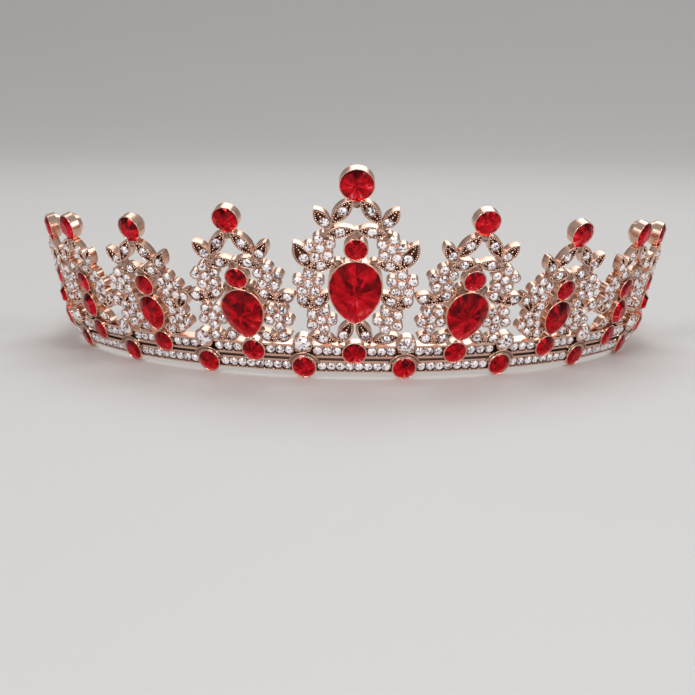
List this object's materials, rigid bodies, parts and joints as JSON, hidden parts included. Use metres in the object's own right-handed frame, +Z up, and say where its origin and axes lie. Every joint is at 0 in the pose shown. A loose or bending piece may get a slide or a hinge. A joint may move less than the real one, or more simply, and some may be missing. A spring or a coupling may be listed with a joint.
{
  "type": "openwork tiara crown",
  "caption": "Rose gold openwork tiara crown with red glass teardrops, round red stones and rows of small clear rhinestones.",
  "frame": {"origin": "midway between the front and rear of the tiara, on the surface that it stands on", "axes": "+X to the right as seen from in front of it, +Y from its front towards its open back, +Z up"},
  "size_m": [0.1466, 0.1028, 0.0461],
  "materials": {
    "rose_gold": "polished rose gold plate, darkened in the recesses",
    "red_glass": "faceted ruby red glass with a foil back",
    "clear_glass": "faceted clear glass with a foil back"
  },
  "bodies": {
    "root": {"lower_band": "rose_gold", "upper_band": "rose_gold", "left_end_plate": "rose_gold", "right_end_plate": "rose_gold", "lower_band_rhinestones": "clear_glass", "upper_band_rhinestones": "clear_glass", "lower_collets": "rose_gold", "lower_red_stones": "red_glass", "upper_collets": "rose_gold", "upper_red_stones": "red_glass", "clear_stone_cups": "rose_gold", "large_clear_stones": "clear_glass", "centre_motif": "rose_gold", "centre_teardrop": "red_glass", "centre_round_stone": "red_glass", "centre_top_stone": "red_glass", "centre_rhinestones": "clear_glass", "right_motif_1": "rose_gold", "right_motif_2": "rose_gold", "right_motif_3": "rose_gold", "right_motif_4": "rose_gold", "right_teardrop_1": "red_glass", "right_teardrop_2": "red_glass", "right_teardrop_3": "red_glass", "right_teardrop_4": "red_glass", "right_round_stone_1": "red_glass", "right_round_stone_2": "red_glass", "right_round_stone_3": "red_glass", "right_round_stone_4": "red_glass", "right_top_stone_1": "red_glass", "right_top_stone_2": "red_glass", "right_top_stone_3": "red_glass", "right_top_stone_4": "red_glass", "right_rhinestones_1": "clear_glass", "right_rhinestones_2": "clear_glass", "right_rhinestones_3": "clear_glass", "right_rhinestones_4": "clear_glass", "left_motif_1": "rose_gold", "left_motif_2": "rose_gold", "left_motif_3": "rose_gold", "left_motif_4": "rose_gold", "left_teardrop_1": "red_glass", "left_teardrop_2": "red_glass", "left_teardrop_3": "red_glass", "left_teardrop_4": "red_glass", "left_round_stone_1": "red_glass", "left_round_stone_2": "red_glass", "left_round_stone_3": "red_glass", "left_round_stone_4": "red_glass", "left_top_stone_1": "red_glass", "left_top_stone_2": "red_glass", "left_top_stone_3": "red_glass", "left_top_stone_4": "red_glass", "left_rhinestones_1": "clear_glass", "left_rhinestones_2": "clear_glass", "left_rhinestones_3": "clear_glass", "left_rhinestones_4": "clear_glass"}
  },
  "joints": []
}
